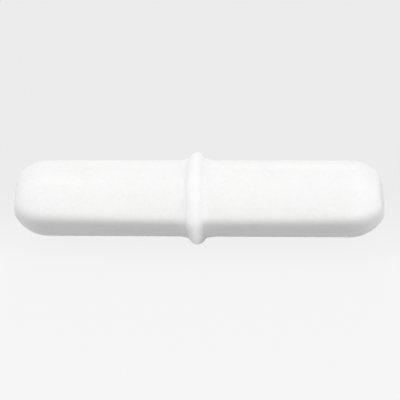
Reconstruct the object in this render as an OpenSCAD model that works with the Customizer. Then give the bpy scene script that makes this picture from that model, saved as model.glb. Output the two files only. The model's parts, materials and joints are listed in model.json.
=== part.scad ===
// Magnetic stir bar: a rod magnet sealed inside a one-piece white fluoropolymer jacket,
// with domed ends whose noses are trimmed flat and a pivot ring round the middle.
// Lengths are in millimetres. The bar lies level along X, and its ring touches z = 0 at the origin.

/* [Bar] */
// Overall length, tip to tip
bar_length = 38; // [34:0.5:60]
// Diameter of the plain barrel, and of the domes that end it
barrel_d = 7.8; // [7:0.1:9]

/* [Pivot ring] */
// How far the ring stands proud of the barrel
ring_rise = 0.8; // [0.6:0.05:1]
// Radius of the ring's rounded crown
crown_r = 0.85; // [0.8:0.05:1.1]
// How far the barrel swells on its way to the foot of the ring
flare_rise = 0.2; // [0.1:0.05:0.3]
// Radius of the long hollow blend from the barrel up to the ring's foot
flare_r = 4; // [2:0.5:8]
// Radius of the small fillet where that blend meets the ring
foot_fillet_r = 0.15; // [0.1:0.05:0.25]

/* [Noses] */
// How much of each dome's tip is trimmed off
nose_trim = 0.6; // [0.3:0.05:1]
// Angle by which both nose flats lean upwards from square, in degrees
nose_lean = 9; // [0:1:15]
// Radius of the soft edge round each nose flat
nose_edge_r = 1; // [0.4:0.1:1.6]

/* [Magnet] */
// Thickness of the jacket round the magnet
side_wall = 1.3; // [0.8:0.1:2]
// Thickness of the jacket beyond each end of the magnet
end_wall = 3.2; // [2.5:0.1:5]
// Bevel on both ends of the magnet
magnet_bevel = 0.3; // [0.1:0.05:0.6]
// Gap between the magnet and the jacket, all round
magnet_gap = 0.02; // [0.01:0.01:0.1]

/* [Hidden] */
$fn = 128;

// Arcs that run into each other overlap by this much, so that they cross instead of only touching.
blend_overlap = 0.002;

barrel_r = barrel_d / 2;
ring_r = barrel_r + ring_rise;

// Outlines are drawn as [radius, distance along the bar from its middle].
crown_centre = [ring_r - crown_r, 0];
foot_r = barrel_r + flare_rise;
foot_at = sqrt(pow(crown_r, 2) - pow(foot_r - crown_centre.x, 2));
flare_end = foot_at + sqrt(pow(flare_r, 2) - pow(flare_r - flare_rise, 2));
flare_centre = [barrel_r + flare_r, flare_end];
fillet_centre = meeting_point(crown_centre, crown_r + foot_fillet_r, flare_centre, flare_r - foot_fillet_r);

// Distances along a nose are measured from the centre of its dome.
flat_at = barrel_r - nose_trim;
edge_at = flat_at - nose_edge_r;
edge_out = sqrt(pow(barrel_r - nose_edge_r + blend_overlap, 2) - pow(edge_at, 2));
edge_centre = [edge_out, edge_at];
nose_reach = edge_at * cos(nose_lean) + edge_out * sin(nose_lean) + nose_edge_r;
dome_at = bar_length / 2 - nose_reach;

magnet_r = barrel_r - side_wall - magnet_gap;
magnet_half = bar_length / 2 - end_wall - magnet_gap;

// Where a circle round a meets one round b, on the left as seen going from a to b.
function meeting_point(a, a_r, b, b_r) =
    let (
        gap = norm(b - a),
        ahead = (b - a) / gap,
        left = [-ahead.y, ahead.x],
        along = (pow(a_r, 2) - pow(b_r, 2) + pow(gap, 2)) / (2 * gap)
    )
    a + along * ahead + sqrt(pow(a_r, 2) - pow(along, 2)) * left;

// Lays a shape turned about Z along the bar's own axis.
module along_bar() {
    translate([0, 0, ring_r]) rotate([0, 90, 0]) children();
}

// Sets a shape turned about Z at a dome's centre, leaning as the nose flats do.
module at_dome(side) {
    translate([side * dome_at, 0, ring_r]) rotate([0, side * (90 - nose_lean), 0]) children();
}

// Quarter disc that turns into a full dome.
module dome_outline() {
    translate([0, dome_at]) intersection() {
        circle(r = barrel_r);
        square(barrel_r);
    }
}

// Hollow blend that rises from the barrel until it runs into the crown.
module flare_outline() {
    difference() {
        square([foot_r + flare_rise, flare_end]);
        translate(flare_centre) circle(r = flare_r);
    }
}

// Fills the corner between the blend and the crown.
module fillet_outline() {
    inward = (fillet_centre - flare_centre) / norm(fillet_centre - flare_centre);
    below = fillet_centre + inward * (crown_centre.x - fillet_centre.x) / inward.x;
    difference() {
        polygon([crown_centre, fillet_centre, below]);
        translate(fillet_centre) circle(r = foot_fillet_r + blend_overlap);
    }
}

// The ring's crown, down to the barrel's skin.
module crown_outline() {
    translate(crown_centre) intersection() {
        circle(r = crown_r);
        square(crown_r);
    }
}

// Outline of half the bar, from its middle to the tip of a full dome.
module half_outline() {
    square([barrel_r, dome_at]);
    dome_outline();
    flare_outline();
    fillet_outline();
    crown_outline();
}

// What is trimmed off a full dome to leave the nose flat and its soft edge. The wedge opens from the
// dome's centre through the soft edge's centre, and ends clear of the dome.
module nose_waste() {
    rotate_extrude() difference() {
        polygon([[0, 0], edge_centre * barrel_d / edge_at, [0, barrel_d]]);
        square([edge_out, flat_at]);
        translate(edge_centre) circle(r = nose_edge_r);
    }
}

// The magnet's form, grown by margin on every side.
module magnet_form(margin) {
    r = magnet_r + margin;
    half = magnet_half + margin;
    along_bar() rotate_extrude() polygon([
        [0, -half],
        [r - magnet_bevel, -half],
        [r, magnet_bevel - half],
        [r, half - magnet_bevel],
        [r - magnet_bevel, half],
        [0, half]
    ]);
}

// One moulding: barrel, pivot ring and trimmed domes, closed all round the magnet.
module jacket() {
    color([0.96, 0.96, 0.95]) difference() {
        along_bar() rotate_extrude() {
            half_outline();
            mirror([0, 1]) half_outline();
        }
        for (side = [-1, 1]) at_dome(side) nose_waste();
        magnet_form(magnet_gap);
    }
}

// Ground rod magnet with bevelled ends.
module magnet() {
    color([0.42, 0.42, 0.43]) magnet_form(0);
}

jacket();
magnet();
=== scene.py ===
import json
import math

import bpy
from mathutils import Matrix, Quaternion, Vector


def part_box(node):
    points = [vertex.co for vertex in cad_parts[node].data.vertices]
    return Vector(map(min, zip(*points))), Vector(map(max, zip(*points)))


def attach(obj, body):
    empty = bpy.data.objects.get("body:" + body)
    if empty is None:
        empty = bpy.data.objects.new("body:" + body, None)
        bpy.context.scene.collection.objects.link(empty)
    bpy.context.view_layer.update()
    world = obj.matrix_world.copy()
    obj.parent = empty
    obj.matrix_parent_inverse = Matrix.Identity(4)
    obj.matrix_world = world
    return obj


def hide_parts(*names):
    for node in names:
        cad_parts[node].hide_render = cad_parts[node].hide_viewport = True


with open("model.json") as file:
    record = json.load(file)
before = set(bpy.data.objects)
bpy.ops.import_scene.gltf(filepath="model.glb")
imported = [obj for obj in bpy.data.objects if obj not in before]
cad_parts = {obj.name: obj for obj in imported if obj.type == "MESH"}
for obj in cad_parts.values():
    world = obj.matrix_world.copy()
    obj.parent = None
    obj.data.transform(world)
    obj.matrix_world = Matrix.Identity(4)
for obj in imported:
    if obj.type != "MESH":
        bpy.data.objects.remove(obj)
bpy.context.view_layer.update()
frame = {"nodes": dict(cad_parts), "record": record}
print("frame loaded:", sorted(frame["nodes"]))


class Value:  # wraps one socket, so that sums on it are written as sums
    def __init__(self, finish, socket):
        self.finish = finish
        self.socket = socket

    def maths(self, operation, first, second):
        return self.finish.node("ShaderNodeMath", {"operation": operation}, {0: first, 1: second})

    def __add__(self, other):
        return self.maths("ADD", self, other)

    def __radd__(self, other):
        return self.maths("ADD", other, self)

    def __sub__(self, other):
        return self.maths("SUBTRACT", self, other)

    def __rsub__(self, other):
        return self.maths("SUBTRACT", other, self)

    def __mul__(self, other):
        return self.maths("MULTIPLY", self, other)

    def __rmul__(self, other):
        return self.maths("MULTIPLY", other, self)


class Finish:  # the node tree of one material or world
    def __init__(self, holder):
        self.holder = holder
        self.holder.use_nodes = True
        self.tree = self.holder.node_tree
        self.tree.nodes.clear()

    def node(self, kind, settings=None, inputs=None, output=0):  # settings go in before the sockets
        made = self.tree.nodes.new(kind)
        for name, setting in (settings or {}).items():
            setattr(made, name, setting)
        for name, given in (inputs or {}).items():
            if isinstance(given, Value):
                self.tree.links.new(given.socket, made.inputs[name])
            else:
                made.inputs[name].default_value = given
        return Value(self, made.outputs[output]) if made.outputs else None

    def place(self):  # object coordinates
        return self.node("ShaderNodeTexCoord", output="Object")

    def split(self, place):  # three values: along, across and up
        return [self.node("ShaderNodeSeparateXYZ", inputs={0: place}, output=axis) for axis in range(3)]

    def join(self, along, across, up):
        return self.node("ShaderNodeCombineXYZ", inputs={0: along, 1: across, 2: up})

    def absolute(self, value):
        return self.node("ShaderNodeMath", {"operation": "ABSOLUTE"}, {0: value})

    def noise(self, place, scale, detail=2.0):
        return self.node("ShaderNodeTexNoise", inputs={"Vector": place, "Scale": scale, "Detail": detail})

    def fade(self, value, start, end):  # 0 up to start, 1 from end, eased between
        return self.node("ShaderNodeMapRange", {"interpolation_type": "SMOOTHSTEP"},
                         {"Value": value, "From Min": start, "From Max": end})

    def blend(self, factor, first, second):
        return self.node("ShaderNodeMix", {"data_type": "RGBA"}, {0: factor, 6: first, 7: second}, output=2)

    def bump(self, height):  # height in metres
        return self.node("ShaderNodeBump", inputs={"Height": height, "Strength": 1.0, "Distance": 1.0})

    def mixShader(self, factor, first, second):
        return self.node("ShaderNodeMixShader", inputs={0: factor, 1: first, 2: second})

    def seen(self):  # 1 where the eye, a reflection or clear glass looks, 0 where light falls
        return sum(self.node("ShaderNodeLightPath", output=ray)
                   for ray in ("Is Camera Ray", "Is Glossy Ray", "Is Transmission Ray"))

    def surface(self, shader, output="ShaderNodeOutputMaterial"):
        self.node(output, inputs={"Surface": shader})
        return self.holder


# The jacket is one moulding: half its outline is a list of stations, and rings of points grow along them.
jacketShape = {
    "crownRadius": 0.00085,      # rounded top of the pivot ring
    "flareRise": 0.0002,         # swelling of the barrel beside the ring
    "flareRadius": 0.004,        # hollow blend of that swelling
    "footRadius": 0.00015,       # fillet where the swelling meets the ring
    "noseTrim": 0.0006,          # trimmed off each dome's tip
    "noseLean": math.radians(9),
    "noseEdge": 0.001,           # soft edge round the trimmed flat
    "cavityGap": 0.00002,        # between the magnet and the wall round it
    "cavityBevel": 0.0003,       # as on the magnet's ends
    "points": 144,               # points round the bar
    "cavityPoints": 96,
    "crownSteps": 14,
    "footSteps": 4,
    "flareSteps": 12,
    "barrelSteps": 26,
    "domeSteps": 26,
    "edgeSteps": 7,
    "flatSteps": 5,
    "samePlace": 1e-7,           # points closer than this are one point
    "smoothUnder": math.radians(30),
}


def arc(centre, radius, start, end, steps):  # points after the first one, as (along, out)
    spots = []
    for step in range(1, steps + 1):
        turn = start + (end - start) * step / steps
        spots.append((centre[0] + radius * math.cos(turn), centre[1] + radius * math.sin(turn)))
    return spots


def meetingPoint(first, firstRadius, second, secondRadius):  # of two circles, right of the way between them
    gap = math.dist(first, second)
    ahead = ((second[0] - first[0]) / gap, (second[1] - first[1]) / gap)
    along = (firstRadius ** 2 - secondRadius ** 2 + gap ** 2) / (2 * gap)
    aside = math.sqrt(firstRadius ** 2 - along ** 2)
    return (first[0] + along * ahead[0] + aside * ahead[1], first[1] + along * ahead[1] - aside * ahead[0])


def angleFrom(centre, spot):
    return math.atan2(spot[1] - centre[1], spot[0] - centre[0])


def jacketSizes():
    low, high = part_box("jacket")
    barrel = next(mount for mount in frame["record"]["mounts"] if mount["name"] == "right_barrel")
    sizes = dict(jacketShape)
    sizes["barrel"] = barrel["dims"]["r_mm"] / 1000
    sizes["ring"] = (high.z - low.z) / 2
    sizes["axisHeight"] = (high.z + low.z) / 2
    sizes["flatAt"] = sizes["barrel"] - sizes["noseTrim"]  # from the dome's centre, as the next two are
    sizes["edgeAt"] = sizes["flatAt"] - sizes["noseEdge"]
    sizes["edgeOut"] = math.sqrt((sizes["barrel"] - sizes["noseEdge"]) ** 2 - sizes["edgeAt"] ** 2)
    lean = sizes["noseLean"]
    reach = sizes["edgeAt"] * math.cos(lean) + sizes["edgeOut"] * math.sin(lean) + sizes["noseEdge"]
    sizes["domeAt"] = (high.x - low.x) / 2 - reach
    return sizes


def ringStations(sizes):  # (along from mid-length, radius), down the crown and out along the swelling
    crownRadius = sizes["crownRadius"]
    footRadius = sizes["footRadius"]
    flareRadius = sizes["flareRadius"]
    crownCentre = (0, sizes["ring"] - crownRadius)
    footOut = sizes["barrel"] + sizes["flareRise"]
    footAt = math.sqrt(crownRadius ** 2 - (footOut - crownCentre[1]) ** 2)
    flareLength = math.sqrt(flareRadius ** 2 - (flareRadius - sizes["flareRise"]) ** 2)
    flareCentre = (footAt + flareLength, sizes["barrel"] + flareRadius)
    footCentre = meetingPoint(crownCentre, crownRadius + footRadius, flareCentre, flareRadius - footRadius)
    crownEnd = angleFrom(crownCentre, footCentre)
    flareStart = angleFrom(flareCentre, footCentre)
    stations = arc(crownCentre, crownRadius, math.pi / 2, crownEnd, sizes["crownSteps"])
    stations += arc(footCentre, footRadius, crownEnd + math.pi, flareStart + 2 * math.pi, sizes["footSteps"])
    stations += arc(flareCentre, flareRadius, flareStart, -math.pi / 2, sizes["flareSteps"])
    return stations


def jacketStations(sizes):  # (along from the dome's centre, radius, lean)
    stations = [(along - sizes["domeAt"], radius, 0) for along, radius in ringStations(sizes)]
    start = stations[-1][0]
    for step in range(1, sizes["barrelSteps"] + 1):
        stations.append((start * (1 - step / sizes["barrelSteps"]), sizes["barrel"], 0))
    domeEnd = math.atan2(sizes["edgeOut"], sizes["edgeAt"])
    for step in range(1, sizes["domeSteps"] + 1):
        part = step / sizes["domeSteps"]
        turn = math.pi / 2 + (domeEnd - math.pi / 2) * part
        lean = sizes["noseLean"] * part
        stations.append((sizes["barrel"] * math.cos(turn), sizes["barrel"] * math.sin(turn), lean))
    edge = arc((sizes["edgeAt"], sizes["edgeOut"]), sizes["noseEdge"], domeEnd, 0, sizes["edgeSteps"])
    stations += [(along, out, sizes["noseLean"]) for along, out in edge]
    flatAlong, flatOut = edge[-1]
    for step in range(1, sizes["flatSteps"]):
        stations.append((flatAlong, flatOut * (1 - step / sizes["flatSteps"]), sizes["noseLean"]))
    return stations


def growHalf(sizes, side, stations):  # extrudes the selected ring out to one nose and closes it
    along, radius, lean = -sizes["domeAt"], sizes["ring"], 0
    dome = Vector((side * sizes["domeAt"], 0, sizes["axisHeight"]))
    for nextAlong, nextRadius, nextLean in stations:
        bpy.ops.mesh.extrude_region_move()
        if nextLean != lean:
            bpy.ops.transform.rotate(value=side * (nextLean - lean), orient_axis="Y", center_override=dome)
        axis = Vector((side * math.cos(nextLean), 0, math.sin(nextLean)))
        bpy.ops.transform.translate(value=axis * (nextAlong - along))
        middle = dome + axis * nextAlong
        bpy.ops.transform.resize(value=(nextRadius / radius,) * 3, center_override=middle)
        along, radius, lean = nextAlong, nextRadius, nextLean
    bpy.ops.mesh.edge_face_add()
    bpy.ops.mesh.poke()


def selectMiddle(piece, sizes):  # the ring of points at mid-length
    bpy.ops.mesh.select_all(action="DESELECT")
    bpy.ops.object.mode_set(mode="OBJECT")
    for point in piece.data.vertices:
        point.select = abs(point.co.x) < sizes["samePlace"]
    bpy.ops.object.mode_set(mode="EDIT")


def addCavity(piece, sizes):  # closed wall round the magnet, facing inwards
    low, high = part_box("magnet")
    radius = (high.z - low.z) / 2 + sizes["cavityGap"]
    half = high.x + sizes["cavityGap"]
    bpy.ops.mesh.select_all(action="DESELECT")
    bpy.ops.mesh.primitive_cylinder_add(vertices=sizes["cavityPoints"], radius=radius, depth=2 * half,
                                        location=(0, 0, sizes["axisHeight"]), rotation=(0, math.pi / 2, 0))
    bpy.ops.mesh.flip_normals()
    bpy.ops.mesh.select_mode(type="EDGE")
    bpy.ops.mesh.select_all(action="DESELECT")
    bpy.ops.object.mode_set(mode="OBJECT")
    points = piece.data.vertices
    axis = Vector((0, 0, sizes["axisHeight"]))
    for edge in piece.data.edges:
        middle = sum((points[index].co for index in edge.vertices), Vector()) / 2
        atEnd = abs(abs(middle.x) - half) < sizes["samePlace"]
        inside = (middle - axis).yz.length < radius  # and so not on the skin
        edge.select = atEnd and inside
    bpy.ops.object.mode_set(mode="EDIT")
    bpy.ops.mesh.bevel(offset=sizes["cavityBevel"], segments=1)
    bpy.ops.mesh.select_mode(type="VERT")


def makeJacket(sizes):
    stations = jacketStations(sizes)
    bpy.ops.object.select_all(action="DESELECT")
    bpy.ops.mesh.primitive_circle_add(vertices=sizes["points"], radius=sizes["ring"], fill_type="NOTHING",
                                      location=(0, 0, sizes["axisHeight"]), rotation=(0, math.pi / 2, 0))
    piece = bpy.context.object
    piece.name = "moulded_jacket"
    bpy.ops.object.transform_apply(location=True, rotation=True, scale=True)
    bpy.ops.object.mode_set(mode="EDIT")
    bpy.ops.mesh.select_mode(type="VERT")
    for side in (1, -1):
        selectMiddle(piece, sizes)
        growHalf(sizes, side, stations)
    bpy.ops.mesh.select_all(action="SELECT")
    bpy.ops.mesh.remove_doubles(threshold=sizes["samePlace"])
    bpy.ops.mesh.normals_make_consistent(inside=False)
    addCavity(piece, sizes)
    bpy.ops.object.mode_set(mode="OBJECT")
    bpy.ops.object.shade_smooth_by_angle(angle=sizes["smoothUnder"])
    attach(piece, "root")
    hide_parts("jacket")
    return piece


barSizes = jacketSizes()
jacket = makeJacket(barSizes)
print("jacket:", len(jacket.data.vertices), "points")


jacketLook = {
    # the plastic in the ring and the domes, and the thinner wall over the dark magnet
    "thick": {"colour": (0.94, 0.94, 0.935, 1), "glow": 0.6, "depth": 0.0012},
    "thin": {"colour": (0.925, 0.925, 0.92, 1), "glow": 0.15, "depth": 0.0008},
    "ringSpan": (0.0010, 0.0016),           # along the bar, where the ring's thick plastic thins out
    "domeSpan": (0.0148, 0.0168),           # and where the dome's begins
    "refraction": 1.35,
    "roughness": 0.42,
    "roughnessVaries": 0.1,
    "cloudScale": 300,                      # soft unevenness, about 3 mm
    "mottleScale": 3000,                    # mottling, about 0.3 mm
    "mottleDetail": 3.0,
    "mottleFromClouds": 0.4,                # share of the mottling that follows the clouds
    "mottleSpan": (0.4, 0.75),
    "mottled": 0.96,                        # share of its colour that a mottled spot keeps
    "grainScale": 3200,                     # waxy grain, about 0.3 mm
    "grainDetail": 4.0,
    "grainDepth": 0.000009,
    "waveScale": 700,                       # slight waves left by turning and polishing
    "waveDepth": 0.000015,
    "rubSpan": (0.0002, 0.0006),            # along the ring's crown, which rubs on the vessel's floor
    "rubPatches": (0.45, 0.6),
    "rubScale": 16000,
    "rubPolish": 0.06,                      # how much smoother the rubbed patches are
    "cutScale": 9000,                       # knife marks on the trimmed noses
    "cutStart": (-0.00006, -0.00001),       # just under the flat, where they set in
    "cutSlant": 0.3,
    "cutLength": 0.02,                      # less of this draws the marks out longer
    "cutRoughness": 0.08,
    "wearDepth": 0.000008,                  # of the knife marks and the rubbed lines
}


def whiteFluoropolymer(sizes):
    look = jacketLook
    finish = Finish(bpy.data.materials.new("whiteFluoropolymer"))
    place = finish.place()
    along, across, up = finish.split(place)
    reach = finish.absolute(along)

    thin = finish.fade(reach, *look["ringSpan"]) - finish.fade(reach, *look["domeSpan"])
    cloud = finish.noise(place, look["cloudScale"])
    speck = finish.noise(place, look["mottleScale"], look["mottleDetail"])
    clouds = look["mottleFromClouds"]
    mottle = finish.fade(cloud * clouds + speck * (1 - clouds), *look["mottleSpan"])
    grain = finish.noise(place, look["grainScale"], look["grainDetail"])
    wave = finish.noise(place, look["waveScale"])

    # rubbed rings round the crown
    crown = 1 - finish.fade(reach, *look["rubSpan"])
    rubbed = crown * finish.fade(cloud, *look["rubPatches"])
    rubLines = finish.noise(finish.join(along, 0.0, 0.0), look["rubScale"])

    # the flats that a blade left on both noses
    lean = sizes["noseLean"]
    outward = (reach - sizes["domeAt"]) * math.cos(lean) + (up - sizes["axisHeight"]) * math.sin(lean)
    cut = finish.fade(outward, *(sizes["flatAt"] + under for under in look["cutStart"]))
    slanted = finish.join(0.0, across + up * look["cutSlant"], up * look["cutLength"])
    cutLines = finish.noise(slanted, look["cutScale"])

    worn = cut * cutLines + rubbed * rubLines
    height = grain * look["grainDepth"] + wave * look["waveDepth"] + worn * look["wearDepth"]
    bump = finish.bump(height)
    uneven = look["roughness"] + (cloud - 0.5) * look["roughnessVaries"]
    roughness = uneven - rubbed * look["rubPolish"] + cut * look["cutRoughness"]
    plastics = []
    for wall in (look["thick"], look["thin"]):
        darker = [part * look["mottled"] for part in wall["colour"][:3]] + [1]
        plastics.append(finish.node("ShaderNodeBsdfPrincipled", inputs={
            "Base Color": finish.blend(mottle, wall["colour"], darker),
            "Roughness": roughness,
            "Normal": bump,
            "IOR": look["refraction"],
            "Subsurface Weight": wall["glow"],
            "Subsurface Radius": (1, 1, 1),
            "Subsurface Scale": wall["depth"],
        }))
    return finish.surface(finish.mixShader(thin, *plastics))


magnetLook = {
    "colour": (0.3, 0.3, 0.31, 1),
    "dark": (0.16, 0.16, 0.17, 1),
    "cloudScale": 500,
    "cloudDetail": 3.0,
    "cloudSpan": (0.35, 0.7),
    "roughness": 0.38,
    "roughnessVaries": 0.15,
    "grindScale": 7000,
    "grindLength": 0.03,        # less of this draws the grinding marks out round the rod
    "grindDepth": 0.000004,
}


def groundMagnet():
    look = magnetLook
    finish = Finish(bpy.data.materials.new("groundMagnet"))
    place = finish.place()
    along, across, up = finish.split(place)
    cloud = finish.noise(place, look["cloudScale"], look["cloudDetail"])
    drawn = finish.join(along, across * look["grindLength"], up * look["grindLength"])
    grind = finish.noise(drawn, look["grindScale"])
    shader = finish.node("ShaderNodeBsdfPrincipled", inputs={
        "Base Color": finish.blend(finish.fade(cloud, *look["cloudSpan"]), look["dark"], look["colour"]),
        "Metallic": 1.0,
        "Roughness": look["roughness"] + cloud * look["roughnessVaries"],
        "Normal": finish.bump(grind * look["grindDepth"]),
    })
    return finish.surface(shader)


jacket.data.materials.append(whiteFluoropolymer(barSizes))
frame["nodes"]["magnet"].material_slots[0].material = groundMagnet()
print("finishes on")


floorLook = {
    "colour": (0.6, 0.6, 0.6, 1),
    "near": (0.945, 0.945, 0.945, 1),  # seen in front of the bar
    "far": (0.859, 0.859, 0.859, 1),   # and behind it
    "nearAt": -0.006,
    "farAt": 0.008,
    "ownLight": 0.92,                  # share of what is seen that the lamps don't touch
    "size": 3.0,
}


def paleFloor():
    look = floorLook
    finish = Finish(bpy.data.materials.new("paleFloor"))
    across = finish.split(finish.place())[1]
    lit = finish.node("ShaderNodeBsdfDiffuse", inputs={"Color": look["colour"]})
    near, far = (finish.node("ShaderNodeEmission", inputs={"Color": look[end], "Strength": 1.0})
                 for end in ("near", "far"))
    plain = finish.mixShader(finish.fade(across, look["nearAt"], look["farAt"]), near, far)
    return finish.surface(finish.mixShader(finish.seen() * look["ownLight"], lit, plain))


def makeFloor():
    bpy.ops.object.select_all(action="DESELECT")
    bpy.ops.mesh.primitive_plane_add(size=floorLook["size"], location=(0, 0, 0))
    floor = bpy.context.object
    floor.name = "floor"
    floor.data.materials.append(paleFloor())


def outFrom(azimuth, elevation):  # azimuth 0 is the front, 90 the right end
    turn, rise = math.radians(azimuth), math.radians(elevation)
    return Vector((math.sin(turn) * math.cos(rise), -math.cos(turn) * math.cos(rise), math.sin(rise)))


def addLamp(name, kind, power, spot, aim):
    light = bpy.data.lights.new(name, kind)
    light.energy = power
    holder = bpy.data.objects.new(name, light)
    holder.location = spot
    holder.rotation_mode = "QUATERNION"
    holder.rotation_quaternion = aim.to_track_quat("-Z", "Y")
    bpy.context.scene.collection.objects.link(holder)
    return holder


softLamps = {  # square, and aimed at the middle of the bar
    "behindLow": {"azimuth": 180, "elevation": 30, "distance": 0.4, "size": 0.1, "power": 0.178},
    "behindHigh": {"azimuth": 180, "elevation": 60, "distance": 0.4, "size": 0.25, "power": 0.23},
    "rightLow": {"azimuth": 90, "elevation": 12, "distance": 0.4, "size": 0.08, "power": 0.176},
    "rightHigh": {"azimuth": 90, "elevation": 50, "distance": 0.4, "size": 0.08, "power": 0.216},
    "leftLow": {"azimuth": -90, "elevation": 30, "distance": 0.4, "size": 0.06, "power": 0.183},
    "leftHigh": {"azimuth": -90, "elevation": 70, "distance": 0.4, "size": 0.06, "power": 0.256},
}


def addSoftLamp(name, lamp):
    out = outFrom(lamp["azimuth"], lamp["elevation"])
    middle = Vector((0, 0, barSizes["axisHeight"]))
    holder = addLamp(name, "AREA", lamp["power"], middle + out * lamp["distance"], -out)
    holder.data.size = lamp["size"]


# A flag shades each of these lamps, and they light only what is above its edge. The edge passes the
# barrel's front at "under" metres below the axis, and rises by "slope" for each metre to the right.
flaggedLamps = {
    "frontRight": {"azimuth": 20, "elevation": 1, "distance": 0.7, "cone": 80, "blend": 0.0029,
                   "softness": 0.0006, "power": 4.81, "under": 0, "slope": -0.0075, "squeeze": 1},
    "frontLeft": {"azimuth": -20, "elevation": 1, "distance": 0.7, "cone": 40, "blend": 0.0058,
                  "softness": 0.0006, "power": 2.55, "under": 0, "slope": -0.0075, "squeeze": 1},
    "ringFill": {"azimuth": 8, "elevation": 4, "distance": 0.25, "cone": 1, "blend": 1,
                 "softness": 0.0002, "power": 0.577, "under": 0.0034, "slope": 0, "squeeze": 0.3},
}


def addFlaggedLamp(name, lamp):
    out = outFrom(lamp["azimuth"], lamp["elevation"])
    edge = Vector((0, -barSizes["barrel"], barSizes["axisHeight"] - lamp["under"]))
    sideways = outFrom(lamp["azimuth"] + 90, 0) + Vector((0, 0, lamp["slope"]))
    above = out.cross(sideways).normalized()
    cone = math.radians(lamp["cone"])
    aim = above * math.sin(cone / 2) - out * math.cos(cone / 2)  # so the cone's lower side is the edge
    holder = addLamp(name, "SPOT", lamp["power"], edge + out * lamp["distance"], aim)
    holder.scale.x = lamp["squeeze"]  # narrows the beam sideways
    holder.data.spot_size = cone
    holder.data.spot_blend = lamp["blend"]
    holder.data.shadow_soft_size = lamp["softness"]


def makeLamps():
    for name, lamp in softLamps.items():
        addSoftLamp(name, lamp)
    for name, lamp in flaggedLamps.items():
        addFlaggedLamp(name, lamp)


cameraPlace = {
    "azimuth": 8,
    "elevation": 42,
    "roll": -5.2,
    "distance": 0.15,
    "lens": 132,
    "film": 36,
    "shiftX": 0.0058,
    "shiftY": -0.004,
    "clearFrom": 0.01,  # nothing nearer than this is drawn
}


def makeCamera():
    place = cameraPlace
    out = outFrom(place["azimuth"], place["elevation"])
    roll = Quaternion((0, 0, 1), math.radians(place["roll"]))
    data = bpy.data.cameras.new("camera")
    data.lens = place["lens"]
    data.sensor_width = place["film"]
    data.shift_x = place["shiftX"]
    data.shift_y = place["shiftY"]
    data.clip_start = place["clearFrom"]
    holder = bpy.data.objects.new("camera", data)
    holder.location = Vector((0, 0, barSizes["axisHeight"])) + out * place["distance"]
    holder.rotation_mode = "QUATERNION"
    holder.rotation_quaternion = (-out).to_track_quat("-Z", "Y") @ roll
    bpy.context.scene.collection.objects.link(holder)
    bpy.context.scene.camera = holder


roomLook = {
    "colour": (1, 1, 1, 1),
    "light": 0.485,  # falls on the bar from all round
    "seen": 0.85,    # where the eye meets the room
}


def makeRoom():
    look = roomLook
    finish = Finish(bpy.data.worlds.new("paleRoom"))
    strength = look["light"] + finish.seen() * (look["seen"] - look["light"])
    shader = finish.node("ShaderNodeBackground", inputs={"Color": look["colour"], "Strength": strength})
    bpy.context.scene.world = finish.surface(shader, "ShaderNodeOutputWorld")


makeFloor()
makeLamps()
makeCamera()
makeRoom()
bpy.context.scene.view_settings.view_transform = "Standard"
print("floor, lamps, camera and room set")
